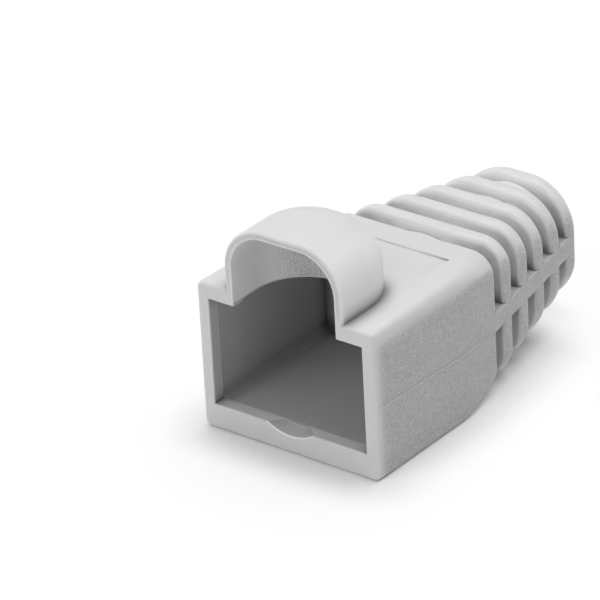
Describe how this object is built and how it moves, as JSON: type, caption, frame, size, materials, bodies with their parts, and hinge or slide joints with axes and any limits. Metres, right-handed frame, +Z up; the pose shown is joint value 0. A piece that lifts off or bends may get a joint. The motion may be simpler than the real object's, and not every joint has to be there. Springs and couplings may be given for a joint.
{
  "type": "rj45 strain relief boot",
  "caption": "Soft moulded boot for a modular plug: square mouth, raised hood over the latch, and a tapering slotted tail that bends with the cable.",
  "frame": {"origin": "on the flat base, under the middle of the bounding box", "axes": "+X across the boot, +Y from the plug mouth to the cable tail, +Z up towards the hood"},
  "size_m": [0.0144, 0.0266, 0.0156],
  "materials": {
    "soft_plastic": "satin grey with a fine spark-eroded grain on the sides"
  },
  "bodies": {
    "root": {"rj45_boot": "soft_plastic"}
  },
  "joints": []
}
